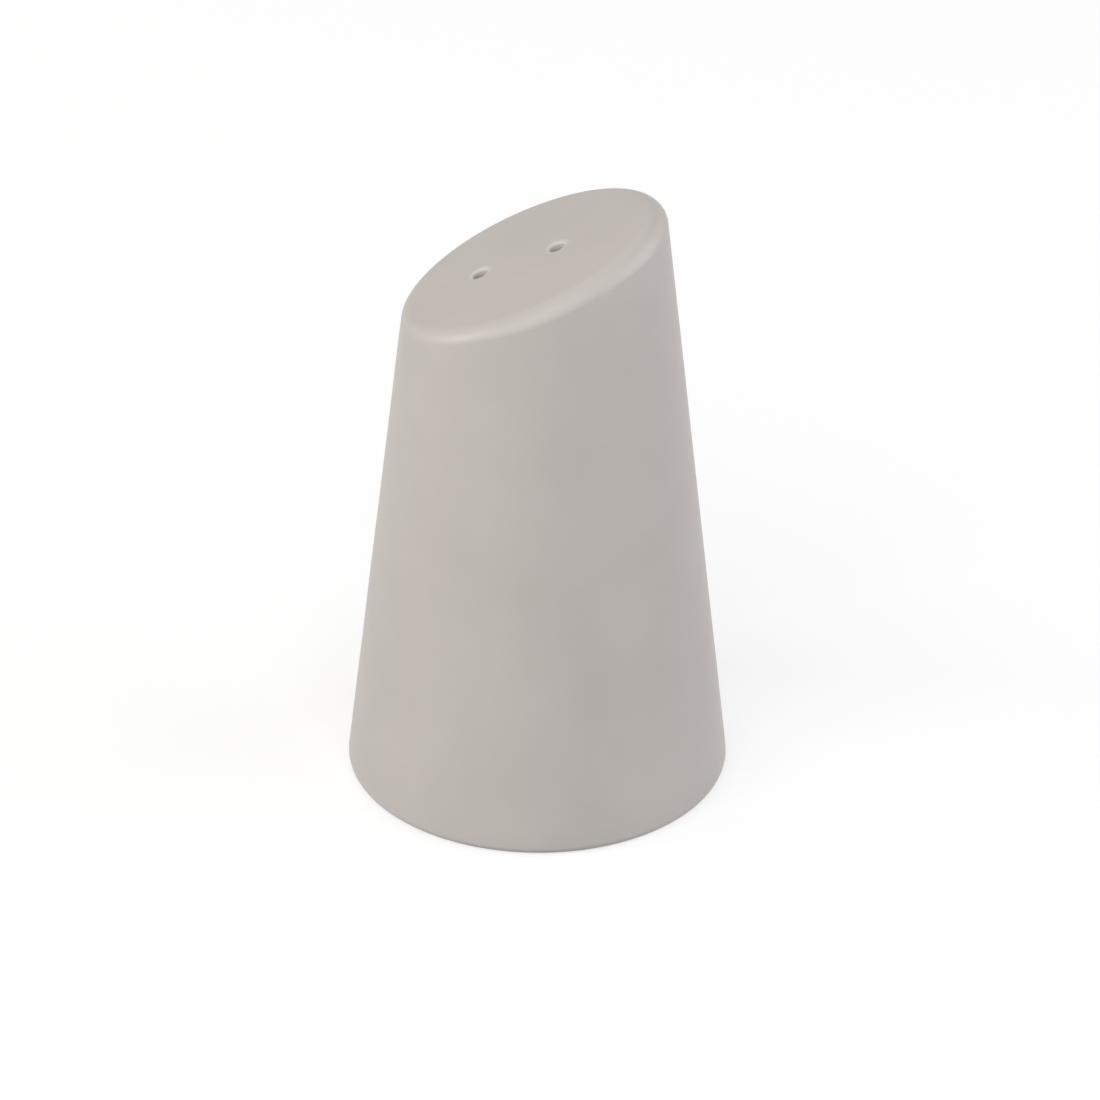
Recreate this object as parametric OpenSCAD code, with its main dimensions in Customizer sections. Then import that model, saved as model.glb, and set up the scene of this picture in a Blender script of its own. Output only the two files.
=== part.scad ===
// Salt shaker with a slanted top. A one-piece ceramic body holds the salt and pours it through
// small holes in the slanted face. It is filled from below, through a hole in its hollow base
// that a soft ribbed stopper closes.
// Sizes are in millimetres and degrees. The origin is on the table under the middle of the foot,
// +Z is up, and the slanted top rises toward +X.

/* [Body] */
// Diameter of the body where the line of its wall meets the table
base_d = 50; // [44:0.5:60]
// Inward lean of the wall from upright
wall_lean = 6.3; // [3:0.1:9]
// Height of the slanted top at the middle of the body
top_h = 75.5; // [60:0.5:95]
// Slope of the top from level
top_slope = 26; // [10:0.5:34]
// Radius of the rounded edge around the top
top_edge_r = 2.6; // [1.5:0.1:4.5]
// Thickness of the wall and of the slanted top
wall_t = 3.2; // [2.4:0.1:4.4]
// Radius in the corner between the wall and the floor of the salt chamber
chamber_corner_r = 3; // [1:0.5:5]

/* [Foot] */
// Radius of the outer edge of the foot
foot_edge_r = 1; // [0.5:0.1:2]
// Width of the flat ring that stands on the table
foot_ring_w = 3.5; // [2:0.1:5]
// Radius of the inner edge of the foot ring
foot_inner_r = 0.8; // [0.4:0.1:1.5]
// Depth of the hollow inside the foot ring
recess_depth = 6; // [4.5:0.5:9]
// Radius in the corner of that hollow
recess_corner_r = 1.5; // [0.5:0.1:2.5]
// Thickness of the floor between the hollow and the salt chamber
floor_t = 4; // [3:0.1:6]

/* [Pour holes] */
// Diameter of a pour hole
pour_d = 1.9; // [1.2:0.1:3]
// Distance between the two pour holes, along the slope
pour_spacing = 11; // [8:0.5:14]
// Shift of the pair from the middle of the top, up the slope
pour_shift = -3.25; // [-5:0.25:1]
// Radius of the softened lip of a pour hole
pour_lip_r = 0.6; // [0.4:0.1:1.6]

/* [Filling hole and stopper] */
// Diameter of the filling hole in the floor
filler_d = 16; // [12:0.5:20]
// Radius of the lips of the filling hole
filler_lip_r = 0.6; // [0.3:0.1:1]
// Gap all round between the stopper's sealing rings and the filling hole
plug_clearance = 0.05; // [0.02:0.01:0.1]
// How far the stopper's flange laps past the filling hole
flange_lap = 3.5; // [2:0.1:4.5]
// Thickness of the flange
flange_t = 2; // [1.4:0.1:2.5]
// Radius of the flange's lower edge
flange_edge_r = 0.8; // [0.3:0.1:1.2]
// Length of the stopper's plug above its flange
plug_len = 9; // [7:0.5:13]
// Length of the tapered nose at the plug's end
nose_len = 2.5; // [1:0.5:4]
// How much the nose draws in at its end
nose_draw = 0.9; // [0.3:0.1:1.2]
// Thickness of the hollow plug's wall
plug_wall_t = 1.8; // [1.4:0.1:2.6]
// Number of sealing rings around the plug
ring_count = 3; // [1:1:3]
// Distance between sealing rings
ring_pitch = 1.9; // [1.5:0.1:2.2]
// Radius of a sealing ring's rounded section
ring_r = 0.6; // [0.4:0.1:0.8]
// How far a sealing ring stands out of the plug
ring_proud = 0.4; // [0.2:0.1:0.6]

/* [Pull bar] */
// Length of the pull bar under the flange
bar_len = 16; // [10:0.5:20]
// Thickness of the pull bar
bar_t = 3; // [2:0.1:4]
// Clear height between the pull bar and the table
bar_lift = 1.2; // [0.6:0.1:2]
// Number of grip ridges on each side of the pull bar
ridge_count = 3; // [1:1:3]
// Radius of a grip ridge
ridge_r = 0.3; // [0.2:0.05:0.4]

/* [Hidden] */
$fn = 96;

// How far a cut runs past the faces it opens
cut = 1;
// Steps around the body, and along the arcs of its top edge and of its foot
around = 96;
top_steps = 10;
foot_steps = 4;
// Angle at which a softened lip meets the face around it
lip_break = 20;

// Lines of the outer wall: its radius at the table and how much it draws in per millimetre of height
base_r = base_d / 2;
wall_run = tan(wall_lean);
top_rise = tan(top_slope);
// Cone and plane that the middle of the top edge's arc follows
edge_base_r = base_r - top_edge_r / cos(wall_lean);
edge_h = top_h - top_edge_r / cos(top_slope);
// Cone and plane of the salt chamber's wall and ceiling
chamber_base_r = base_r - wall_t / cos(wall_lean);
ceiling_h = top_h - wall_t / cos(top_slope);

// Foot ring, from the middle of its outer arc inward
foot_mid_r = corner_mid(base_r, foot_edge_r);
recess_r = foot_mid_r - foot_ring_w - lip_reach(foot_inner_r);

// Levels of the floor, and of the stopper that seats against its underside
seat_z = recess_depth;
chamber_z = recess_depth + floor_t;
flange_z = seat_z - flange_t;
plug_z = seat_z + plug_len;
nose_z = plug_z - nose_len;
// Highest point of the chamber
peak_z = meet_z(chamber_base_r, ceiling_h, 0);
chamber_corner_mid = corner_mid(chamber_r(chamber_z), chamber_corner_r);

// Radii of the stopper
filler_r = filler_d / 2;
flange_r = filler_r + flange_lap;
plug_r = filler_r - plug_clearance;
core_r = plug_r - ring_proud;
hollow_r = core_r - plug_wall_t;
first_ring_z = seat_z + filler_lip_r + ring_r;
bar_h = flange_z - bar_lift;
// Block that is larger than the whole body
reach = top_h + base_d;

body_colour = "#C8C0BA";
stopper_colour = "#E6E3DC";

function unit(v) = v / norm(v);

// How far a softened lip reaches out from the wall of its hole
function lip_reach(lip_r) = lip_r * (1 - sin(lip_break));

// Radius of the salt chamber at height z
function chamber_r(z) = chamber_base_r - z * wall_run;

// Radius of the middle of an arc that touches the leaning wall and a level face
function corner_mid(wall_r, arc_r) = wall_r - arc_r * wall_run - arc_r / cos(wall_lean);

// Height at which a cone parallel to the wall meets a plane parallel to the top, in direction a
function meet_z(cone_r, plane_h, a) =
    (plane_h + cone_r * top_rise * cos(a)) / (1 + wall_run * top_rise * cos(a));

// Points of the outer skin in direction a, with t from 0 to 1 along the arc
function foot_point(a, t) =
    let (b = -90 + t * (90 + wall_lean), r = foot_mid_r + foot_edge_r * cos(b))
    [r * cos(a), r * sin(a), foot_edge_r * (1 + sin(b))];

function top_point(a, t) =
    let (
        z = meet_z(edge_base_r, edge_h, a),
        r = edge_base_r - z * wall_run,
        wall_way = [cos(a) * cos(wall_lean), sin(a) * cos(wall_lean), sin(wall_lean)],
        top_way = [-sin(top_slope), 0, cos(top_slope)]
    )
    [r * cos(a), r * sin(a), z] + top_edge_r * unit((1 - t) * wall_way + t * top_way);

// Solid inside the outer skin: rings of points from the foot's flat up to the slanted flat
module outer_form() {
    angles = [for (i = [0 : around - 1]) i * 360 / around];
    rings = foot_steps + top_steps + 2;
    points = [
        for (k = [0 : foot_steps], a = angles) foot_point(a, k / foot_steps),
        for (k = [0 : top_steps], a = angles) top_point(a, k / top_steps)
    ];
    bands = [
        for (k = [0 : rings - 2], i = [0 : around - 1])
            let (j = (i + 1) % around, low = k * around, high = low + around)
            each [[low + i, high + i, high + j], [low + i, high + j, low + j]]
    ];
    flats = [
        [for (i = [0 : around - 1]) i],
        [for (i = [around - 1 : -1 : 0]) (rings - 1) * around + i]
    ];
    polyhedron(points, concat(bands, flats), convexity = 2);
}

// Section of a round hole's softened mouth, in a face at height 0 that looks up
module mouth(hole_r, lip_r) {
    drop = lip_r * cos(lip_break);
    difference() {
        translate([0, -drop]) square([hole_r + lip_r, drop + cut]);
        translate([hole_r + lip_r, -drop]) circle(lip_r);
    }
}

// Section of the hollow inside the foot ring
module recess_section() {
    mirror([0, 1]) mouth(recess_r, foot_inner_r);
    translate([0, -cut]) square([recess_r, cut + recess_depth - recess_corner_r]);
    square([recess_r - recess_corner_r, recess_depth]);
    translate([recess_r - recess_corner_r, recess_depth - recess_corner_r]) circle(recess_corner_r);
}

// Section of the filling hole through the floor
module filler_section() {
    translate([0, seat_z - cut]) square([filler_r, floor_t + 2 * cut]);
    translate([0, seat_z]) mirror([0, 1]) mouth(filler_r, filler_lip_r);
    translate([0, chamber_z]) mouth(filler_r, filler_lip_r);
}

// Section of the salt chamber, before the slanted ceiling closes it
module chamber_section() {
    corner = [chamber_corner_mid, chamber_z + chamber_corner_r];
    polygon([
        [0, chamber_z],
        [corner.x, chamber_z],
        corner,
        corner + chamber_corner_r * [cos(wall_lean), sin(wall_lean)],
        [chamber_r(peak_z + cut), peak_z + cut],
        [0, peak_z + cut]
    ]);
    translate(corner) circle(chamber_corner_r);
}

// Moves its children onto the slanted face, with their X up the slope
module on_slant() {
    translate([0, 0, top_h]) rotate([0, -top_slope, 0]) children();
}

module pour_hole() {
    rotate_extrude() {
        translate([0, -wall_t - cut]) square([pour_d / 2, wall_t + 2 * cut]);
        mouth(pour_d / 2, pour_lip_r);
    }
}

module shaker_body() color(body_colour) {
    difference() {
        outer_form();
        intersection() {
            rotate_extrude() {
                recess_section();
                filler_section();
                chamber_section();
            }
            on_slant() translate([-reach, -reach, -wall_t - 2 * reach]) cube(2 * reach);
        }
        for (side = [-1, 1])
            on_slant() translate([pour_shift + side * pour_spacing / 2, 0, 0]) pour_hole();
    }
}

// Section of the flange, the hollow plug and its sealing rings
module stopper_section() {
    difference() {
        union() {
            translate([0, flange_z]) square([flange_r - flange_edge_r, flange_t]);
            translate([0, flange_z + flange_edge_r]) square([flange_r, flange_t - flange_edge_r]);
            translate([flange_r - flange_edge_r, flange_z + flange_edge_r]) circle(flange_edge_r);
            polygon([
                [0, flange_z],
                [core_r, flange_z],
                [core_r, nose_z],
                [core_r - nose_draw, plug_z],
                [0, plug_z]
            ]);
            for (i = [0 : ring_count - 1])
                translate([plug_r - ring_r, first_ring_z + i * ring_pitch]) circle(ring_r);
        }
        translate([0, seat_z]) square([hollow_r, plug_len + cut]);
    }
}

// Bar under the flange that fingertips pull, with grip ridges along both sides
module pull_bar() {
    straight = bar_len - bar_t;
    translate([0, 0, bar_lift]) linear_extrude(bar_h + flange_t / 2) {
        square([straight, bar_t], center = true);
        for (side = [-1, 1])
            translate([side * straight / 2, 0]) circle(d = bar_t);
    }
    for (side = [-1, 1], i = [1 : ridge_count])
        translate([0, side * bar_t / 2, bar_lift + i * bar_h / (ridge_count + 1)])
            rotate([0, 90, 0]) cylinder(r = ridge_r, h = straight, center = true);
}

module filler_stopper() color(stopper_colour) {
    rotate_extrude() stopper_section();
    pull_bar();
}

shaker_body();
filler_stopper();
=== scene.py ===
"""Dresses a slant-topped ceramic salt shaker and the soft stopper in its base.

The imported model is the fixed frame: metres, +Z up, the origin on the table under the middle of
the foot, the slanted top rising toward +X. Both pieces are rebuilt here as smooth closed skins in
the places of their solids, and a pale studio is set around them.
"""

import logging
import math
from dataclasses import dataclass, field
from enum import Enum
from itertools import zip_longest
from typing import Any, Iterable, Mapping, Optional, Sequence, Union

import bmesh
import bpy
from mathutils import Matrix, Vector, noise
from mathutils.geometry import delaunay_2d_cdt


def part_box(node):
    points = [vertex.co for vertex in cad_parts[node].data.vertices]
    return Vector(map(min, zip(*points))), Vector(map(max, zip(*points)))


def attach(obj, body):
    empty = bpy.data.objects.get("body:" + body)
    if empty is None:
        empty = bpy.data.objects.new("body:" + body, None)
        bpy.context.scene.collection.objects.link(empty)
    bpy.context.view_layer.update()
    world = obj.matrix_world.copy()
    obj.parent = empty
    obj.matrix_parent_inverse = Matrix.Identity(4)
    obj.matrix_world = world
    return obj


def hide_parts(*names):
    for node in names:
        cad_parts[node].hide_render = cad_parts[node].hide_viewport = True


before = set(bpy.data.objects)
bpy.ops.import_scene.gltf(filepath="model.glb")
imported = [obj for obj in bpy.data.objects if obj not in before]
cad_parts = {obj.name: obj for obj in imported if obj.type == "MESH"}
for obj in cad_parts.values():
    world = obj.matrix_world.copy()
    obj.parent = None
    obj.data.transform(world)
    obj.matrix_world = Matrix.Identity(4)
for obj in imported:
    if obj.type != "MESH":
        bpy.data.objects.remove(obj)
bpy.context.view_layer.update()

MM = 0.001
HALF_TURN = math.pi
QUARTER_TURN = math.pi / 2
# Angle between faces above which an edge stays sharp
CREASE = math.radians(50)
# Mark for how thin a finish is: 0 for all of it, 1 as over an edge, 2 for none. On the glaze its pale
# tone also paints a highlight along the top edge and bright rims around the pour holes
THIN_AND_HIGHLIGHT_MARK = "thin_finish_and_highlight"
BARE = 2.0
log = logging.getLogger("salt_shaker")

Colour = tuple[float, float, float]
Section = list[tuple[float, float]]


class Ray(Enum):
    """Rays that see the white studio as it is shown."""

    CAMERA = "Is Camera Ray"
    GLOSSY = "Is Glossy Ray"
    TRANSMISSION = "Is Transmission Ray"


def srgb(red: int, green: int, blue: int) -> Colour:
    """Turns a colour as it is seen on a screen into the linear one that shaders take.

    Args:
        red: Red, from 0 to 255.
        green: Green, from 0 to 255.
        blue: Blue, from 0 to 255.

    Returns:
        The linear colour.
    """
    shares = [level / 255 for level in (red, green, blue)]
    return tuple(s / 12.92 if s <= 0.04045 else ((s + 0.055) / 1.055) ** 2.4 for s in shares)


def ease(low: float, high: float, value: float) -> float:
    """A soft step.

    Args:
        low: Value at which the step starts.
        high: Value at which it ends.
        value: The value to step.

    Returns:
        0 up to low, 1 from high on, and a soft rise between them.
    """
    share = min(max((value - low) / (high - low), 0.0), 1.0)
    return share * share * (3 - 2 * share)


def spread(start: float, stop: float, steps: int) -> list[float]:
    """Even values from start to stop.

    Args:
        start: The first value.
        stop: The last value.
        steps: Number of steps between them.

    Returns:
        The values, both ends included.
    """
    return [start + (stop - start) * k / steps for k in range(steps + 1)]


def arc(middle: tuple[float, float], radius: float, start: float, stop: float,
        steps: int = 8) -> Section:
    """Points of a round stretch of a section.

    Args:
        middle: Distance from the axis and height of the arc's middle.
        radius: Radius of the arc.
        start: Angle of its first point, from the outward direction toward up.
        stop: Angle of its last point.
        steps: Number of steps between them.

    Returns:
        The points, both ends included.
    """
    angles = spread(start, stop, steps)
    return [(middle[0] + radius * math.cos(a), middle[1] + radius * math.sin(a)) for a in angles]


def softened(corners: Sequence[tuple[float, float, float]], steps: int = 6) -> Section:
    """Rounds the corners of an open section.

    Args:
        corners: Distance from the axis, height and rounding radius of each corner.
        steps: Number of steps in each rounding.

    Returns:
        The points of the section.
    """
    section = []
    for k, (r, z, radius) in enumerate(corners):
        if radius == 0:
            section.append((r, z))
            continue
        corner = Vector((r, z))
        back = (Vector(corners[k - 1][:2]) - corner).normalized()
        ahead = (Vector(corners[k + 1][:2]) - corner).normalized()
        half = back.angle(ahead) / 2
        middle = corner + (back + ahead).normalized() * (radius / math.sin(half))
        touches = (corner + way * (radius / math.tan(half)) for way in (back, ahead))
        first, last = ((touch - middle).normalized() for touch in touches)
        ways = (first.slerp(last, share) for share in spread(0, 1, steps))
        section += [tuple(middle + radius * way) for way in ways]
    return section


def turned(radius: float, height: float, count: int) -> list[Vector]:
    """A level circle of points about the Z axis.

    Args:
        radius: Radius of the circle.
        height: Its height.
        count: Number of points.

    Returns:
        The points, from +X toward +Y.
    """
    angles = spread(0, 2 * HALF_TURN, count)[:-1]
    return [Vector((radius * math.cos(a), radius * math.sin(a), height)) for a in angles]


def stand_off(azimuth: float, elevation: float) -> Vector:
    """Direction from the object to a lamp or a camera.

    Args:
        azimuth: Degrees from the front toward +X.
        elevation: Degrees above the horizon.

    Returns:
        The direction, one metre long.
    """
    a, e = math.radians(azimuth), math.radians(elevation)
    return Vector((math.sin(a) * math.cos(e), -math.cos(a) * math.cos(e), math.sin(e)))


class Skin:
    """One closed surface, put together from rings of points."""

    def __init__(self) -> None:
        """Starts with nothing in it."""
        self.points: list[Vector] = []
        self.thin_and_highlight_marks: list[float] = []
        self.faces: list[tuple[int, ...]] = []

    def ring(self, points: Iterable[Vector], thin: float = 0.0) -> range:
        """Adds points.

        Args:
            points: The points, in the frame.
            thin: How thin the finish is on them, which on the glaze also carries a painted highlight:
                0 for all of it, 1 as over an edge, 2 for none.

        Returns:
            The numbers that they got.
        """
        first = len(self.points)
        self.points.extend(points)
        self.thin_and_highlight_marks.extend([thin] * (len(self.points) - first))
        return range(first, len(self.points))

    def strip(self, start: range, rings: Iterable[Iterable[Vector]],
              thin_and_highlight_marks: Sequence[float] = ()) -> range:
        """Carries the surface on from one ring through more rings of as many points.

        Args:
            start: The ring that it starts from.
            rings: Points of the rings that follow.
            thin_and_highlight_marks: How thin the finish is on each of them, with any painted
                highlight on the glaze, or nothing where it isn't thinner.

        Returns:
            The last ring.
        """
        count = len(start)
        for points, thin in zip_longest(rings, thin_and_highlight_marks, fillvalue=0.0):
            following = self.ring(points, thin)
            for i in range(count):
                j = (i + 1) % count
                self.faces.append((start[i], start[j], following[j], following[i]))
            start = following
        return start

    def flat(self, plane: Matrix, edge: range, holes: Sequence[range] = (),
             within: Iterable[int] = ()) -> None:
        """Closes a ring with triangles, around any holes.

        Args:
            plane: Place of the flat, with its X and Y axes along it.
            edge: The ring around the flat.
            holes: Rings that stay open in it.
            within: Numbers of more points that it passes through.
        """
        numbers = [*edge, *(i for hole in holes for i in hole), *within]
        place = {number: k for k, number in enumerate(numbers)}
        to_plane = plane.inverted()
        laid_out = [(to_plane @ self.points[i]).to_2d() / MM for i in numbers]
        rims = [
            (place[loop[k - 1]], place[loop[k]])
            for loop in (edge, *holes) for k in range(len(loop))
        ]
        whole_outline, same_point = 0, 1e-5
        filled = delaunay_2d_cdt(laid_out, rims, [], whole_outline, same_point, True)
        _, _, faces, origins, _, _ = filled
        for face in faces:
            corners = tuple(numbers[origins[k][0]] for k in face)
            if not any(all(i in hole for i in corners) for hole in holes):
                self.faces.append(corners)

    def close(self, ring: range, point: Vector) -> None:
        """Closes a ring with a fan around one more point.

        Args:
            ring: The ring.
            point: The fan's middle.
        """
        middle = self.ring([point])[0]
        self.faces += [(ring[i - 1], ring[i], middle) for i in range(len(ring))]

    def solid(self, name: str) -> bpy.types.Object:
        """Makes the surface into a smooth object with its faces turned outward.

        Args:
            name: Name of the object.

        Returns:
            The object, in the scene.
        """
        mesh = bpy.data.meshes.new(name)
        mesh.from_pydata(self.points, [], self.faces)
        work = bmesh.new()
        work.from_mesh(mesh)
        bmesh.ops.recalc_face_normals(work, faces=work.faces)
        work.to_mesh(mesh)
        work.free()
        mesh.attributes.new(THIN_AND_HIGHLIGHT_MARK, "FLOAT", "POINT").data.foreach_set("value", self.thin_and_highlight_marks)
        mesh.shade_smooth()
        mesh.set_sharp_from_angle(angle=CREASE)
        made = bpy.data.objects.new(name, mesh)
        bpy.context.scene.collection.objects.link(made)
        return made


Entry = Union[float, int, Sequence[float], "Wire"]


class Wire:
    """An output socket that takes part in sums, each of which adds a Math node."""

    def __init__(self, sheet: "Sheet", socket: Optional[bpy.types.NodeSocket]) -> None:
        """Wraps a socket.

        Args:
            sheet: The sheet that the socket's node is on.
            socket: The socket, or nothing for a node that has no output.
        """
        self.sheet = sheet
        self.socket = socket

    def _sum(self, operation: str, first: Entry, second: Entry) -> "Wire":
        """Adds one Math node and returns its result."""
        return self.sheet.add("ShaderNodeMath", {"operation": operation}, {0: first, 1: second})

    def __add__(self, other: Entry) -> "Wire":
        """This plus other."""
        return self._sum("ADD", self, other)

    def __radd__(self, other: Entry) -> "Wire":
        """Other plus this."""
        return self._sum("ADD", other, self)

    def __sub__(self, other: Entry) -> "Wire":
        """This less other."""
        return self._sum("SUBTRACT", self, other)

    def __rsub__(self, other: Entry) -> "Wire":
        """Other less this."""
        return self._sum("SUBTRACT", other, self)

    def __mul__(self, other: Entry) -> "Wire":
        """This times other."""
        return self._sum("MULTIPLY", self, other)

    def __rmul__(self, other: Entry) -> "Wire":
        """Other times this."""
        return self._sum("MULTIPLY", other, self)

    def eased(self, low: float, high: float) -> "Wire":
        """A soft step from 0 at low to 1 at high.

        Args:
            low: Value at which the step starts.
            high: Value at which it ends.

        Returns:
            The step.
        """
        return self.sheet.add(
            "ShaderNodeMapRange", {"interpolation_type": "SMOOTHSTEP"},
            {"Value": self, "From Min": low, "From Max": high},
        )


class Sheet:
    """The node tree of one material or of the world."""

    def __init__(self, tree: bpy.types.NodeTree) -> None:
        """Clears a tree.

        Args:
            tree: The tree to write on.
        """
        self.tree = tree
        tree.nodes.clear()

    def add(self, kind: str, settings: Optional[Mapping[str, Any]] = None,
            inputs: Optional[Mapping[Union[str, int], Entry]] = None,
            output: Union[str, int] = 0) -> Wire:
        """Adds a node.

        Args:
            kind: Type of the node.
            settings: Its own settings, which are set first.
            inputs: Values or links of its sockets, by name or number.
            output: Name or number of the socket to return.

        Returns:
            That output.
        """
        node = self.tree.nodes.new(kind)
        for name, value in (settings or {}).items():
            setattr(node, name, value)
        for key, value in (inputs or {}).items():
            socket = node.inputs[key]
            if isinstance(value, Wire):
                self.tree.links.new(value.socket, socket)
            elif socket.type == "RGBA":
                socket.default_value = (*value, 1.0)
            else:
                socket.default_value = value
        return Wire(self, node.outputs[output] if node.outputs else None)

    def blend(self, share: Entry, first: Entry, second: Entry) -> Wire:
        """Mixes two colours.

        Args:
            share: Share of the second colour.
            first: The first colour.
            second: The second colour.

        Returns:
            The mixed colour.
        """
        # A Mix node has more sockets of the same name, so those for colours go by number.
        sockets = {0: share, 6: first, 7: second}
        return self.add("ShaderNodeMix", {"data_type": "RGBA"}, sockets, output=2)

    def patches(self, pattern: Wire, deep_tone: Entry, tone: Entry) -> Wire:
        """Soft patches of two tones.

        Args:
            pattern: A soft random pattern about 0.
            deep_tone: Colour where it is low.
            tone: Colour where it is high.

        Returns:
            The colour.
        """
        reach = 0.25
        return self.blend(pattern.eased(-reach, reach), deep_tone, tone)

    def grain(self, place: Wire, size: float, detail: float = 2.0) -> Wire:
        """A soft random pattern about 0.

        Args:
            place: Where on the piece it is read.
            size: Rough size of its patches, in metres.
            detail: Number of finer layers in it.

        Returns:
            The pattern, from about -0.5 to 0.5.
        """
        inputs = {"Vector": place, "Scale": 1 / size, "Detail": detail}
        return self.add("ShaderNodeTexNoise", {}, inputs) - 0.5

    def relief(self, height: Wire, depth: float) -> Wire:
        """A surface that stands up and down a little.

        Args:
            height: Height of each point, in parts of the depth.
            depth: The depth, in metres.

        Returns:
            The direction that the surface faces.
        """
        return self.add("ShaderNodeBump", {}, {"Strength": 1.0, "Distance": depth, "Height": height})

    def thin(self) -> Wire:
        """How thin the finish is at a point, which on the glaze also carries a painted highlight: 0
        for all of it, 1 as over an edge, 2 for none.
        """
        return self.add("ShaderNodeAttribute", {"attribute_name": THIN_AND_HIGHLIGHT_MARK}, output="Fac")

    def seen(self) -> Wire:
        """1 for rays that see the white studio as it is shown, 0 for those that carry its light."""
        camera, glossy, transmission = (
            self.add("ShaderNodeLightPath", output=ray.value) for ray in Ray
        )
        return (camera + glossy + transmission).eased(0.0, 1.0)

    def glow(self, kind: str, strength: float, tint: Colour = (1.0, 1.0, 1.0)) -> Wire:
        """A plain light.

        Args:
            kind: Type of its node.
            strength: Its strength, where 1 is white.
            tint: Its colour.

        Returns:
            The shader.
        """
        return self.add(kind, {}, {"Color": tint, "Strength": strength})


def new_material(name: str) -> tuple[bpy.types.Material, Sheet]:
    """Starts a material.

    Args:
        name: Its name.

    Returns:
        The material and its empty sheet.
    """
    material = bpy.data.materials.new(name)
    material.use_nodes = True
    return material, Sheet(material.node_tree)


@dataclass(frozen=True)
class SatinGlaze:
    """Warm light grey satin-matt glaze over clay, which is bare under the foot and in the pour holes.

    Attributes:
        tone: Colour of the glaze.
        deep_tone: Colour where it pooled a little thicker.
        pale_edge_tone: Paler colour where the glaze runs thin over the top edge, also used as a
            painted highlight there and on the rims around the pour holes.
        clay_tone: Colour of the bare fired clay.
        fleck_tone: Colour of the fine flecks in the glaze.
        cloud: Size of the broad patches of tone.
        cloud_detail: Number of finer layers in those patches.
        fleck: Size of the flecks.
        fleck_levels: Levels of their pattern between which a fleck comes up.
        fleck_share: How much of their colour they take.
        peel: Size of the fine waves of the surface.
        peel_depth: Depth of those waves.
        clay_peel: How many times deeper still they are on the bare clay.
        roughness: Mean roughness of the glaze.
        uneven: How much the roughness varies between patches.
        clay_roughness: Roughness of the bare clay.
        glaze_line: Height above the table at which the glaze starts.
        line_fade: How far it fades in to either side of that line.
        wander: Size of the line's small waves.
        wander_depth: Depth of those waves.
        ior: How strongly the glaze bends light.
    """

    tone: Colour = srgb(199, 191, 185)
    deep_tone: Colour = srgb(194, 186, 180)
    pale_edge_tone: Colour = srgb(211, 207, 202)
    clay_tone: Colour = srgb(212, 205, 196)
    fleck_tone: Colour = srgb(190, 181, 174)
    cloud: float = 14 * MM
    cloud_detail: float = 3.0
    fleck: float = 0.3 * MM
    fleck_levels: tuple[float, float] = (0.2, 0.32)
    fleck_share: float = 0.5
    peel: float = 0.8 * MM
    peel_depth: float = 0.004 * MM
    clay_peel: float = 4.0
    roughness: float = 0.42
    uneven: float = 0.06
    clay_roughness: float = 0.85
    glaze_line: float = 0.35 * MM
    line_fade: float = 0.1 * MM
    wander: float = 2.4 * MM
    wander_depth: float = 0.4 * MM
    ior: float = 1.5

    def material(self) -> bpy.types.Material:
        """Makes the finish.

        Returns:
            The material.
        """
        material, sheet = new_material("satin_glaze")
        place = sheet.add("ShaderNodeTexCoord", output="Object")
        height = sheet.add("ShaderNodeSeparateXYZ", {}, {0: place}, output="Z")
        cloud = sheet.grain(place, self.cloud, self.cloud_detail)
        peel = sheet.grain(place, self.peel)
        wander = sheet.grain(place, self.wander) * self.wander_depth
        thin = sheet.thin()
        low, high = self.glaze_line - self.line_fade, self.glaze_line + self.line_fade
        bare = 1 - (height + wander).eased(low, high) + thin.eased(1.0, BARE)
        flecks = sheet.grain(place, self.fleck, 0.0).eased(*self.fleck_levels) * self.fleck_share
        glazed = sheet.patches(cloud, self.deep_tone, self.tone)
        flecked = sheet.blend(flecks, glazed, self.fleck_tone)
        # The pale tone is partly thin glaze over the top edge, partly a painted highlight there and
        # around the pour holes
        thinned_and_highlit = sheet.blend(thin, flecked, self.pale_edge_tone)
        colour = sheet.blend(bare, thinned_and_highlit, self.clay_tone)
        rough = self.roughness + cloud * self.uneven + bare * (self.clay_roughness - self.roughness)
        normal = sheet.relief(peel * (1 + bare * self.clay_peel), self.peel_depth)
        shader = sheet.add(
            "ShaderNodeBsdfPrincipled", {},
            {"Base Color": colour, "Roughness": rough, "IOR": self.ior, "Normal": normal},
        )
        sheet.add("ShaderNodeOutputMaterial", {}, {"Surface": shader})
        return material


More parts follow.
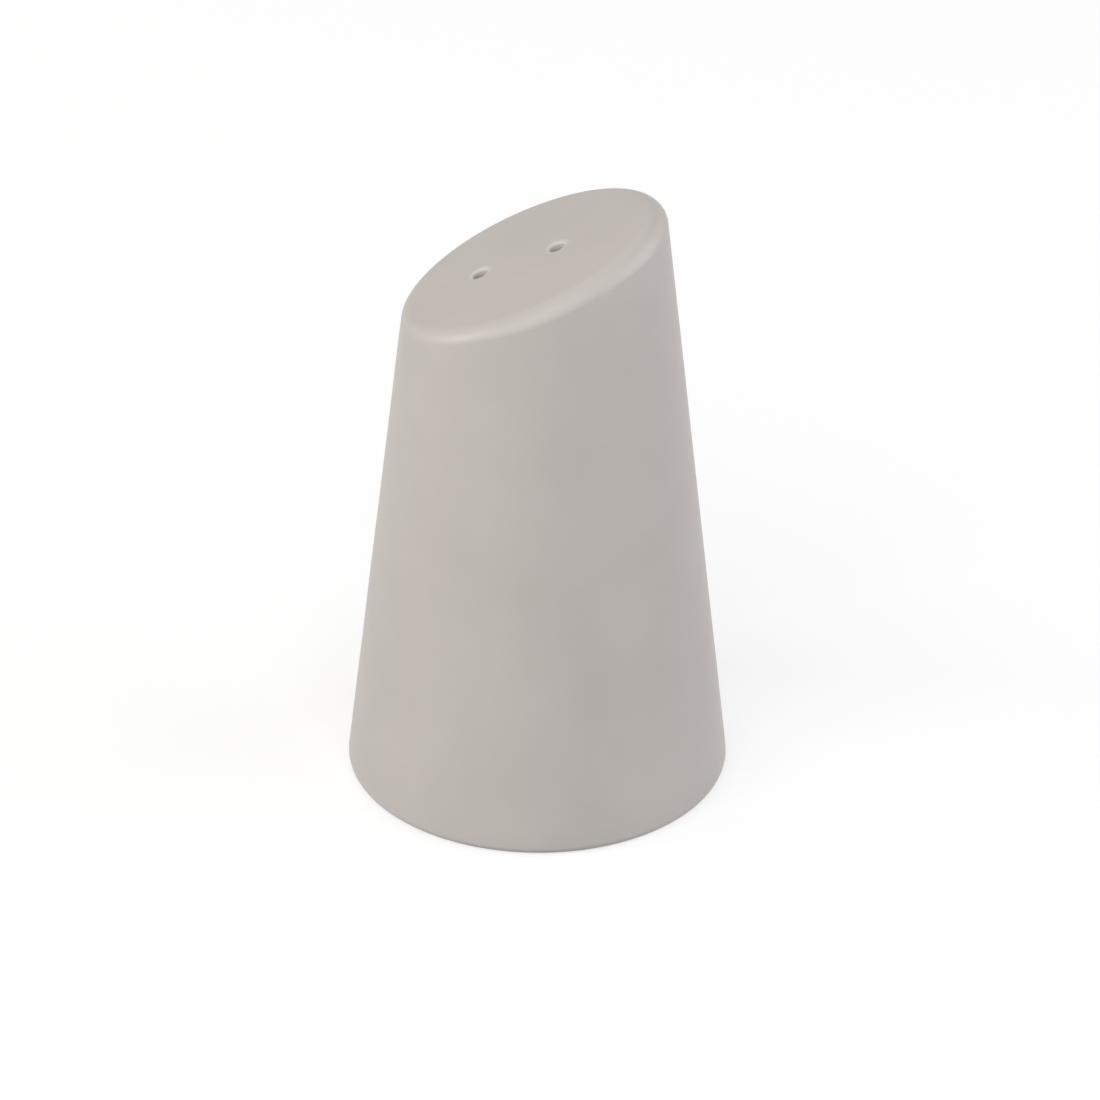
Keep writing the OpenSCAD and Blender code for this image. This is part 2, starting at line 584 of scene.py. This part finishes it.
@dataclass(frozen=True)
class SoftSilicone:
    """Milky moulded silicone with a faintly mottled, dull skin.

    Attributes:
        tone: Its colour.
        deep_tone: Its colour in the darker patches.
        pale_edge_tone: Its colour along thin edges.
        thin_share: How much of that colour they take.
        roughness: Mean roughness.
        uneven: How much the roughness varies between patches.
        mottle: Size of its patches.
        mottle_detail: Number of finer layers in them.
        skin: Size of the moulded texture.
        skin_depth: Depth of that texture.
        glow: Share of the light that passes under its skin.
        glow_depth: How deep that light passes.
        glow_reach: Parts of that depth that red, green and blue reach.
        ior: How strongly it bends light.
    """

    tone: Colour = srgb(230, 227, 220)
    deep_tone: Colour = srgb(221, 217, 208)
    pale_edge_tone: Colour = srgb(236, 234, 229)
    thin_share: float = 0.7
    roughness: float = 0.5
    uneven: float = 0.15
    mottle: float = 5 * MM
    mottle_detail: float = 3.0
    skin: float = 0.35 * MM
    skin_depth: float = 0.01 * MM
    glow: float = 0.3
    glow_depth: float = 1.5 * MM
    glow_reach: Colour = (1.0, 0.9, 0.75)
    ior: float = 1.41

    def material(self) -> bpy.types.Material:
        """Makes the finish.

        Returns:
            The material.
        """
        material, sheet = new_material("soft_silicone")
        place = sheet.add("ShaderNodeTexCoord", output="Object")
        mottle = sheet.grain(place, self.mottle, self.mottle_detail)
        skin = sheet.grain(place, self.skin)
        milky = sheet.patches(mottle, self.deep_tone, self.tone)
        colour = sheet.blend(sheet.thin() * self.thin_share, milky, self.pale_edge_tone)
        normal = sheet.relief(skin, self.skin_depth)
        shader = sheet.add(
            "ShaderNodeBsdfPrincipled", {},
            {
                "Base Color": colour, "Roughness": self.roughness + mottle * self.uneven,
                "IOR": self.ior, "Normal": normal, "Subsurface Weight": self.glow,
                "Subsurface Scale": self.glow_depth, "Subsurface Radius": self.glow_reach,
            },
        )
        sheet.add("ShaderNodeOutputMaterial", {}, {"Surface": shader})
        return material


@dataclass(frozen=True)
class PaleFloor:
    """White floor that keeps a soft shadow and is open to views from below.

    Attributes:
        shade: Share of the floor's look that takes light and shadow.
        white: Share of it that stays white.
        bounce: Light that it throws back up.
        bounce_tint: Colour of that light.
    """

    shade: float = 0.5
    white: float = 0.61
    bounce: float = 0.2
    bounce_tint: Colour = (0.89, 0.97, 1.0)

    def material(self) -> bpy.types.Material:
        """Makes the finish.

        Returns:
            The material.
        """
        material, sheet = new_material("pale_floor")
        shaded = sheet.add("ShaderNodeBsdfDiffuse", {}, {"Color": (self.shade,) * 3})
        white = sheet.glow("ShaderNodeEmission", self.white)
        bounce = sheet.glow("ShaderNodeEmission", self.bounce, self.bounce_tint)
        shown = sheet.add("ShaderNodeAddShader", {}, {0: shaded, 1: white})
        above = sheet.add("ShaderNodeMixShader", {}, {0: sheet.seen(), 1: bounce, 2: shown})
        below = sheet.add("ShaderNodeNewGeometry", output="Backfacing")
        clear = sheet.add("ShaderNodeBsdfTransparent")
        both = sheet.add("ShaderNodeMixShader", {}, {0: below, 1: above, 2: clear})
        sheet.add("ShaderNodeOutputMaterial", {}, {"Surface": both})
        return material


@dataclass
class ShakerBody:
    """The ceramic body: leaning round wall, slanted top, pour holes, salt chamber and hollow foot.

    Attributes:
        wall_lean: Inward lean of the wall from upright.
        top_h: Height of the slanted top on the axis.
        top_slope: Slope of the top from level.
        crown_r: Radius of the slight crown of the top.
        top_edge_r: Radius of the rounded edge around the top.
        top_edge_thin_and_highlight: How thin the glaze is over that edge, which also paints a
            highlight along it.
        wall_t: Thickness of the wall and of the top.
        chamber_corner_r: Radius between the chamber's wall and floor.
        foot_edge_r: Radius of the outer edge of the foot.
        recess_r: Radius of the hollow inside the foot.
        foot_inner_r: Radius of the edge around that hollow.
        recess_depth: Depth of the hollow.
        recess_corner_r: Radius in its corner.
        floor_t: Thickness of the floor.
        pour_r: Radius of a pour hole.
        pour_places: Places of the pour holes up the slope from the axis.
        pour_lip_r: Radius of a pour hole's lip.
        pour_lip_highlight: How pale the glaze is painted at a pour hole's lip and on the face sinking
            to it, a painted highlight, above the bare throat.
        sink_r: How far from a pour hole's axis the face starts to sink in.
        sink_curve: Radius of the curve in which it sinks in.
        filler_r: Radius of the filling hole.
        filler_lip_r: Radius of its lips.
        wave: Rough length of the casting's faint waves.
        wave_depth: Depth of those waves.
        wave_seed: Number that sets their pattern.
        wave_heights: Heights between which the waves come up.
        around: Number of points around the axis.
        around_pour: Number of points around a pour hole.
    """

    wall_lean: float = math.radians(6.3)
    top_h: float = 75.45 * MM
    top_slope: float = math.radians(25)
    crown_r: float = 330 * MM
    top_edge_r: float = 2.2 * MM
    top_edge_thin_and_highlight: float = 0.12
    wall_t: float = 3.2 * MM
    chamber_corner_r: float = 3 * MM
    foot_edge_r: float = 1 * MM
    recess_r: float = 19.86 * MM
    foot_inner_r: float = 0.8 * MM
    recess_depth: float = 6 * MM
    recess_corner_r: float = 1.5 * MM
    floor_t: float = 4 * MM
    pour_r: float = 1.05 * MM
    pour_places: Sequence[float] = (-8.66 * MM, 2.25 * MM)
    pour_lip_r: float = 0.2 * MM
    pour_lip_highlight: float = 0.8
    sink_r: float = 2.2 * MM
    sink_curve: float = 3.55 * MM
    filler_r: float = 8 * MM
    filler_lip_r: float = 0.6 * MM
    wave: float = 12 * MM
    wave_depth: float = 0.03 * MM
    wave_seed: int = 5
    wave_heights: tuple[float, float] = (2 * MM, 12 * MM)
    around: int = 192
    around_pour: int = 48

    def __post_init__(self) -> None:
        """Takes the wall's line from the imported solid."""
        low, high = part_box("shaker_body")
        self.wall_run = math.tan(self.wall_lean)
        foot_reach = self.foot_edge_r - self.corner_inset(self.foot_edge_r)
        self.base_r = (high.x - low.x) / 2 - foot_reach
        self.slant = Matrix.Translation((0, 0, self.top_h)) @ Matrix.Rotation(-self.top_slope, 4, "Y")
        self.crown_middle = self.slant @ Vector((0, 0, -self.crown_r))

    def corner_inset(self, arc_r: float) -> float:
        """How far inside the wall the middle of an arc lies that touches it and a level face.

        Args:
            arc_r: Radius of the arc.

        Returns:
            The distance, from the wall's line at that face.
        """
        return arc_r * self.wall_run + arc_r / math.cos(self.wall_lean)

    def meet(self, depth: float, angle: float) -> Vector:
        """Point that lies equally deep under the wall and under the crowned top.

        Args:
            depth: How deep.
            angle: Direction of the point.

        Returns:
            The point.
        """
        outward = Vector((math.cos(angle), math.sin(angle), 0))
        start = outward * (self.base_r - depth / math.cos(self.wall_lean)) - self.crown_middle
        way = Vector((0, 0, 1)) - outward * self.wall_run
        half, inner_r = start.dot(way) / way.dot(way), self.crown_r - depth
        rise = math.sqrt(half * half - (start.dot(start) - inner_r * inner_r) / way.dot(way)) - half
        return self.crown_middle + start + way * rise

    def on_top(self, x: float, y: float, height: float) -> Vector:
        """Point above or below the crowned top.

        Args:
            x: Its place up the slope.
            y: Its place across the slope.
            height: Its height above the crown.

        Returns:
            The point.
        """
        drop = self.crown_r - math.sqrt(self.crown_r * self.crown_r - x * x - y * y)
        return self.slant @ Vector((x, y, height - drop))

    def angles(self) -> list[float]:
        """Directions of the points around the axis."""
        return spread(0, 2 * HALF_TURN, self.around)[:-1]

    def top_edge(self, share: float) -> list[Vector]:
        """One ring on the rounded edge around the top.

        Args:
            share: 0 where the edge leaves the wall, 1 where it meets the slanted face.

        Returns:
            The ring's points.
        """
        leaning = Matrix.Rotation(-self.wall_lean, 3, "Y") @ Vector((1, 0, 0))
        points = []
        for angle in self.angles():
            wall_way = Matrix.Rotation(angle, 3, "Z") @ leaning
            middle = self.meet(self.top_edge_r, angle)
            face_way = (middle - self.crown_middle).normalized()
            points.append(middle + self.top_edge_r * wall_way.slerp(face_way, share))
        return points

    def crown(self, skin: Skin, rim: range) -> range:
        """Adds points on the crowned top, clear of its rim and of the pour holes.

        Args:
            skin: The surface to add to.
            rim: The ring around the top.

        Returns:
            The numbers of the points.
        """
        outermost, innermost, steps, every = 0.95, 0.05, 18, 4
        kept_off = 1.2 * self.sink_r
        to_slant = self.slant.inverted()
        laid_out = [(to_slant @ skin.points[i]).to_2d() for i in rim[::every]]
        spots = [share * spot for share in spread(outermost, innermost, steps) for spot in laid_out]
        holes = [Vector((place, 0)) for place in self.pour_places]
        clear = [spot for spot in spots if all((spot - hole).length > kept_off for hole in holes)]
        return skin.ring(self.on_top(spot.x, spot.y, 0) for spot in clear)

    def outside(self, skin: Skin) -> tuple[range, range]:
        """Adds the foot's outer edge, the wall and the top edge.

        Args:
            skin: The surface to add to.

        Returns:
            The ring at the foot's flat and the one at the slanted face.
        """
        wall_steps, edge_steps = 24, 18
        middle = (self.base_r - self.corner_inset(self.foot_edge_r), self.foot_edge_r)
        foot = [
            turned(r, z, self.around)
            for r, z in arc(middle, self.foot_edge_r, -QUARTER_TURN, self.wall_lean)
        ]
        shares = spread(0, 1, edge_steps)
        edge = [self.top_edge(share) for share in shares]
        wall = [
            [low.lerp(high, k / wall_steps) for low, high in zip(foot[-1], edge[0])]
            for k in range(1, wall_steps)
        ]
        foot_ring = skin.ring(foot[0])
        wall_top = skin.strip(foot_ring, [*foot[1:], *wall])
        # Paler across the top edge, most at its middle: partly thin glaze, partly a painted highlight
        thinning_and_highlight = [self.top_edge_thin_and_highlight * math.sin(HALF_TURN * share) for share in shares]
        return foot_ring, skin.strip(wall_top, edge, thinning_and_highlight)

    def inside(self, skin: Skin, foot_ring: range) -> range:
        """Adds the foot's flat, the hollow in it, the filling hole and the chamber's wall.

        Args:
            skin: The surface to add to.
            foot_ring: The ring at the outer edge of the foot's flat.

        Returns:
            The ring at the chamber's ceiling.
        """
        chamber_base_r = self.base_r - self.wall_t / math.cos(self.wall_lean)
        chamber_z = self.recess_depth + self.floor_t
        floor_r = chamber_base_r - chamber_z * self.wall_run - self.corner_inset(self.chamber_corner_r)
        inner_r, corner_r, lip_r, curve_r = (
            self.foot_inner_r, self.recess_corner_r, self.filler_lip_r, self.chamber_corner_r,
        )
        section = [
            *arc((self.recess_r + inner_r, inner_r), inner_r, -QUARTER_TURN, -HALF_TURN),
            *arc((self.recess_r - corner_r, self.recess_depth - corner_r), corner_r, 0, QUARTER_TURN),
            *arc((self.filler_r + lip_r, self.recess_depth + lip_r), lip_r, -QUARTER_TURN, -HALF_TURN),
            *arc((self.filler_r + lip_r, chamber_z - lip_r), lip_r, HALF_TURN, QUARTER_TURN),
            *arc((floor_r, chamber_z + curve_r), curve_r, -QUARTER_TURN, self.wall_lean),
        ]
        ceiling = [self.meet(self.wall_t, angle) for angle in self.angles()]
        return skin.strip(foot_ring, [*(turned(r, z, self.around) for r, z in section), ceiling])

    def around_hole(self, place: float, radius: float, height: float) -> list[Vector]:
        """A circle of points around a pour hole.

        Args:
            place: The hole's place up the slope.
            radius: The circle's radius.
            height: Its height above the crowned top.

        Returns:
            The points.
        """
        circle = turned(radius, height, self.around_pour)
        return [self.on_top(place + point.x, point.y, height) for point in circle]

    def pour_hole(self, skin: Skin, place: float) -> tuple[range, range]:
        """Adds one pour hole with the softened face around it.

        Args:
            skin: The surface to add to.
            place: The hole's place up the slope.

        Returns:
            The ring around the softened face and the one at the chamber's ceiling.
        """
        sink_steps, lip_steps, highlight_from = 12, 8, 0.3
        lip_middle = self.pour_r + self.pour_lip_r
        tilt = math.asin((self.sink_r - lip_middle) / (self.sink_curve - self.pour_lip_r))
        turn = QUARTER_TURN + tilt
        lip_drop = self.sink_curve - (self.sink_curve - self.pour_lip_r) * math.cos(tilt)
        sink = arc((self.sink_r, -self.sink_curve), self.sink_curve, QUARTER_TURN, turn, sink_steps)
        lip = arc((lip_middle, -lip_drop), self.pour_lip_r, turn, HALF_TURN, lip_steps)
        section = [*sink, *lip[1:], (self.pour_r, -self.wall_t)]
        # The sunk face is painted paler toward the lip as a highlight, and the throat below is bare
        # clay
        fades = [ease(highlight_from, 1.0, share) for share in spread(0, 1, sink_steps)]
        thinning_and_highlight = [self.pour_lip_highlight * fade for fade in fades]
        thinning_and_highlight += [*spread(self.pour_lip_highlight, BARE, lip_steps)[1:], BARE]
        first, *rings = (self.around_hole(place, r, z) for r, z in section)
        mouth = skin.ring(first)
        return mouth, skin.strip(mouth, rings, thinning_and_highlight[1:])

    def wavy(self, point: Vector) -> Vector:
        """Shifts a point by the faint waves of the casting, which leave the foot true.

        Args:
            point: The point.

        Returns:
            The shifted point.
        """
        depth = self.wave_depth * ease(*self.wave_heights, point.z)
        return point + noise.noise_vector(point / self.wave) * depth

    def build(self) -> bpy.types.Object:
        """Makes the body's skin.

        Returns:
            The object.
        """
        skin = Skin()
        foot_ring, rim = self.outside(skin)
        ceiling = self.inside(skin, foot_ring)
        mouths, throats = zip(*(self.pour_hole(skin, place) for place in self.pour_places))
        skin.flat(self.slant, rim, mouths, self.crown(skin, rim))
        skin.flat(self.slant, ceiling, throats)
        noise.seed_set(self.wave_seed)
        skin.points = [self.wavy(point) for point in skin.points]
        return skin.solid("ceramic_body")

    def dress(self, piece: bpy.types.Object, finish: SatinGlaze) -> None:
        """Gives the body its finish and its place in the frame.

        Args:
            piece: The body.
            finish: Its finish.
        """
        piece.data.materials.append(finish.material())
        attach(piece, "body")
        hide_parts("shaker_body")


@dataclass
class FillerStopper:
    """The soft stopper: a flange, a hollow ribbed plug above it and a pull bar below it.

    Attributes:
        plug_len: Length of the plug above the flange.
        flange_t: Thickness of the flange.
        flange_edge_r: Radius of the flange's lower edge.
        soft_r: Radius that softens its other edges.
        core_r: Radius of the plug between its sealing rings.
        plug_wall_t: Thickness of the plug's wall.
        hollow_corner_r: Radius in the corner of the plug's hollow.
        nose_len: Length of the plug's tapered nose.
        nose_draw: How much the nose draws in.
        nose_start_r: Radius where the nose starts to draw in.
        nose_end_r: Radius of its end.
        gate_r: Radius of the mark that the moulding left in the middle of the hollow.
        gate_draw: How much that mark draws in.
        gate_h: Its height.
        gate_root_r: Radius around its foot.
        gate_edge_r: Radius of its edge.
        ring_count: Number of sealing rings.
        first_ring: Height of the first ring above the flange.
        ring_pitch: Distance between the rings.
        ring_r: Radius of a ring's section.
        ring_proud: How far a ring stands out.
        ring_root_r: Radius where a ring leaves the plug.
        bar_len: Length of the pull bar.
        bar_t: Its thickness.
        bar_edge_r: Radius of its lower edge and of the sweep into the flange.
        ridge_count: Number of grip ridges on each side.
        ridge_r: Radius of a ridge.
        ridge_fade: Length over which a ridge fades out at its ends.
        around: Number of points around the axis.
    """

    plug_len: float = 9 * MM
    flange_t: float = 2 * MM
    flange_edge_r: float = 0.8 * MM
    soft_r: float = 0.3 * MM
    core_r: float = 7.55 * MM
    plug_wall_t: float = 1.8 * MM
    hollow_corner_r: float = 0.9 * MM
    nose_len: float = 2.5 * MM
    nose_draw: float = 0.9 * MM
    nose_start_r: float = 0.9 * MM
    nose_end_r: float = 0.45 * MM
    gate_r: float = 0.9 * MM
    gate_draw: float = 0.2 * MM
    gate_h: float = 0.25 * MM
    gate_root_r: float = 0.2 * MM
    gate_edge_r: float = 0.1 * MM
    ring_count: int = 3
    first_ring: float = 1.2 * MM
    ring_pitch: float = 1.9 * MM
    ring_r: float = 0.6 * MM
    ring_proud: float = 0.4 * MM
    ring_root_r: float = 0.1 * MM
    bar_len: float = 16 * MM
    bar_t: float = 3 * MM
    bar_edge_r: float = 0.4 * MM
    ridge_count: int = 3
    ridge_r: float = 0.3 * MM
    ridge_fade: float = 1.2 * MM
    around: int = 128

    def __post_init__(self) -> None:
        """Takes the stopper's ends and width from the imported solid."""
        low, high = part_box("filler_stopper")
        self.flange_r = (high.x - low.x) / 2
        self.bar_z, self.plug_z = low.z, high.z
        self.seat_z = self.plug_z - self.plug_len
        self.flange_z = self.seat_z - self.flange_t

    def ring_section(self, height: float) -> list[tuple[float, float, float]]:
        """Corners of one sealing ring, softened where it leaves the plug.

        Args:
            height: Height of the ring's middle.

        Returns:
            The corners, with their rounding radii.
        """
        middle = self.core_r + self.ring_proud - self.ring_r
        reach = math.acos((self.core_r - middle) / self.ring_r)
        points = arc((middle, height), self.ring_r, -reach, reach, steps=10)
        roots = (points[0], points[-1])
        return [(*point, self.ring_root_r if point in roots else 0.0) for point in points]

    def plug_section(self) -> Section:
        """Section from the flange's lower edge over the plug to the middle of its hollow.

        Returns:
            The section's points.
        """
        hollow_r, innermost_r = self.core_r - self.plug_wall_t, 0.1 * MM
        gate_z = self.seat_z + self.gate_h
        first = self.seat_z + self.first_ring
        rings = [self.ring_section(first + k * self.ring_pitch) for k in range(self.ring_count)]
        upper = softened([
            (self.flange_r, self.seat_z - 2 * self.soft_r, 0.0),
            (self.flange_r, self.seat_z, self.soft_r),
            (self.core_r, self.seat_z, self.soft_r),
            *(corner for ring in rings for corner in ring),
            (self.core_r, self.plug_z - self.nose_len, self.nose_start_r),
            (self.core_r - self.nose_draw, self.plug_z, self.nose_end_r),
            (hollow_r, self.plug_z, self.soft_r),
            (hollow_r, self.seat_z, self.hollow_corner_r),
            (self.gate_r, self.seat_z, self.gate_root_r),
            (self.gate_r - self.gate_draw, gate_z, self.gate_edge_r),
            (innermost_r, gate_z, 0.0),
        ])
        middle = (self.flange_r - self.flange_edge_r, self.flange_z + self.flange_edge_r)
        return [*arc(middle, self.flange_edge_r, -QUARTER_TURN, 0), *upper]

    def bar_ring(self, offset: float, ridge: float, height: float) -> list[Vector]:
        """One level ring around the pull bar.

        Args:
            offset: How far it stands outside the bar's plain outline.
            ridge: How much further it stands out along the bar's sides, fading at their ends.
            height: Its height.

        Returns:
            The ring's points.
        """
        end_steps, side_steps = 24, 32
        straight, radius = (self.bar_len - self.bar_t) / 2, self.bar_t / 2 + offset
        points = []
        for side in (1, -1):
            for angle in spread(-QUARTER_TURN, QUARTER_TURN, end_steps):
                x, y = straight + radius * math.cos(angle), radius * math.sin(angle)
                points.append(Vector((side * x, side * y, height)))
            for x in spread(straight, -straight, side_steps)[1:-1]:
                grip = ease(0, self.ridge_fade, straight - abs(x))
                points.append(Vector((side * x, side * (radius + ridge * grip), height)))
        return points

    def bar(self, skin: Skin) -> range:
        """Adds the pull bar.

        Args:
            skin: The surface to add to.

        Returns:
            The ring where it meets the flange.
        """
        edge_r = self.bar_edge_r
        step = (self.flange_z - self.bar_z) / (self.ridge_count + 1)
        low_edge = arc((-edge_r, self.bar_z + edge_r), edge_r, -QUARTER_TURN, 0)
        high_edge = arc((edge_r, self.flange_z - edge_r), edge_r, HALF_TURN, QUARTER_TURN)
        lower = [(r, 0.0, z) for r, z in low_edge]
        heights = [self.bar_z + (k + 1) * step for k in range(self.ridge_count)]
        ridges = [
            (0.0, out, z)
            for height in heights
            for out, z in arc((0, height), self.ridge_r, -QUARTER_TURN, QUARTER_TURN)
        ]
        sweep = [(r, 0.0, z) for r, z in high_edge]
        # The outermost ridges start and end on the rings of the two edges.
        first, *rings = (self.bar_ring(*level) for level in [*lower, *ridges[1:-1], *sweep])
        base = skin.ring(first)
        skin.flat(Matrix.Identity(4), base)
        return skin.strip(base, rings)

    def build(self) -> bpy.types.Object:
        """Makes the stopper's skin.

        Returns:
            The object.
        """
        skin = Skin()
        first, *rings = (turned(r, z, self.around) for r, z in self.plug_section())
        # The rings of the flange's lower and upper edges come first, and as many on each.
        edge_rings = 8
        lower_edge, upper_edge = [1.0] * edge_rings, [0.5] * edge_rings
        underside = skin.ring(first)
        floor = skin.strip(underside, rings, lower_edge + upper_edge)
        skin.close(floor, Vector((0, 0, skin.points[floor[0]].z)))
        skin.flat(Matrix.Identity(4), underside, [self.bar(skin)])
        return skin.solid("soft_stopper")

    def dress(self, piece: bpy.types.Object, finish: SoftSilicone) -> None:
        """Gives the stopper its finish and its place in the frame.

        Args:
            piece: The stopper.
            finish: Its finish.
        """
        piece.data.materials.append(finish.material())
        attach(piece, "stopper")
        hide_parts("filler_stopper")


@dataclass(frozen=True)
class Lamp:
    """One soft square lamp.

    Attributes:
        name: Its name.
        azimuth: Direction that it stands in, in degrees from the front toward +X.
        elevation: Its height above the horizon, in degrees.
        distance: Its distance from the object.
        size: Width of its face.
        power: Its power, in watts.
        tint: Its colour.
    """

    name: str
    azimuth: float
    elevation: float
    distance: float
    size: float
    power: float
    tint: Colour = (1.0, 1.0, 1.0)

    def hang(self, aim: Vector) -> None:
        """Puts the lamp in the scene, facing a point.

        Args:
            aim: The point.
        """
        data = bpy.data.lights.new(self.name, "AREA")
        data.shape, data.size, data.energy, data.color = "SQUARE", self.size, self.power, self.tint
        hung = bpy.data.objects.new(self.name, data)
        way = stand_off(self.azimuth, self.elevation)
        hung.location = aim + way * self.distance
        hung.rotation_mode = "QUATERNION"
        hung.rotation_quaternion = way.to_track_quat("Z", "Y")
        bpy.context.scene.collection.objects.link(hung)


@dataclass
class Studio:
    """The white room: floor, light from all around, lamps and camera.

    Attributes:
        azimuth: Direction of the camera, in degrees from the front toward +X.
        elevation: Its height above the horizon, in degrees.
        roll: Its small turn about the line of sight, in degrees.
        distance: Its distance from the point that it aims at.
        lens: Its focal length, in millimetres.
        sensor: Width of its sensor, in millimetres.
        sight: The nearest and the farthest that it sees.
        aim: The point that it aims at.
        floor_size: Width of the floor.
        floor_drop: How far the floor lies under the foot.
        ambient: Strength of the light from all around.
        lamps: The lamps.
    """

    azimuth: float = 8.06
    elevation: float = 30.89
    roll: float = 0.42
    distance: float = 1.0
    lens: float = 251.6
    sensor: float = 36.0
    sight: tuple[float, float] = (0.05, 50.0)
    aim: Vector = field(default_factory=lambda: Vector((1.466, 0.208, 31.226)) * MM)
    floor_size: float = 6.0
    floor_drop: float = 0.05 * MM
    ambient: float = 0.18
    lamps: Sequence[Lamp] = (
        Lamp("front_lamp", -9, 27, 1.0, 1.5, 10.8, (0.985, 1.0, 1.0)),
        Lamp("left_lamp", -75, 15, 0.9, 0.35, 2.8, (1.0, 0.98, 0.94)),
        Lamp("right_lamp", 95, 15, 1.0, 1.2, 8.45, (0.94, 0.94, 1.0)),
        Lamp("back_lamp", -150, 50, 1.0, 0.8, 1.6, (1.0, 0.94, 0.87)),
    )

    def camera(self) -> None:
        """Places the camera."""
        back = stand_off(self.azimuth, self.elevation)
        right = Vector((0, 0, 1)).cross(back).normalized()
        data = bpy.data.cameras.new("portrait_camera")
        data.lens, data.sensor_width = self.lens, self.sensor
        data.clip_start, data.clip_end = self.sight
        camera = bpy.data.objects.new("portrait_camera", data)
        turn = Matrix((right, back.cross(right), back)).transposed().to_4x4()
        rolled = turn @ Matrix.Rotation(math.radians(self.roll), 4, "Z")
        camera.matrix_world = Matrix.Translation(self.aim + back * self.distance) @ rolled
        bpy.context.scene.collection.objects.link(camera)
        bpy.context.scene.camera = camera

    def floor(self, finish: PaleFloor) -> None:
        """Lays the floor.

        Args:
            finish: Its finish.
        """
        half, level = self.floor_size / 2, -self.floor_drop
        mesh = bpy.data.meshes.new("studio_floor")
        corners = [(x * half, y * half, level) for x, y in ((-1, -1), (1, -1), (1, 1), (-1, 1))]
        mesh.from_pydata(corners, [], [(0, 1, 2, 3)])
        mesh.materials.append(finish.material())
        floor = bpy.data.objects.new("studio_floor", mesh)
        bpy.context.scene.collection.objects.link(floor)

    def surroundings(self) -> None:
        """Lights the scene evenly from all around, on white."""
        world = bpy.data.worlds.new("white_room")
        world.use_nodes = True
        sheet = Sheet(world.node_tree)
        soft = sheet.glow("ShaderNodeBackground", self.ambient)
        white = sheet.glow("ShaderNodeBackground", 1.0)
        both = sheet.add("ShaderNodeMixShader", {}, {0: sheet.seen(), 1: soft, 2: white})
        sheet.add("ShaderNodeOutputWorld", {}, {"Surface": both})
        bpy.context.scene.world = world

    def build(self) -> None:
        """Sets up the whole studio."""
        self.camera()
        self.floor(PaleFloor())
        self.surroundings()
        for lamp in self.lamps:
            lamp.hang(self.aim)
        bpy.context.scene.view_settings.view_transform = "Standard"


def report(piece: bpy.types.Object) -> None:
    """Logs a piece's name and its number of faces.

    Args:
        piece: The piece.
    """
    log.info("%s: %d faces", piece.name, len(piece.data.polygons))


def main() -> None:
    """Builds the studio and the two dressed pieces."""
    logging.basicConfig(level=logging.INFO)
    Studio().build()
    body = ShakerBody()
    ceramic = body.build()
    body.dress(ceramic, SatinGlaze())
    report(ceramic)
    stopper = FillerStopper()
    silicone = stopper.build()
    stopper.dress(silicone, SoftSilicone())
    report(silicone)


if __name__ == "__main__":
    main()
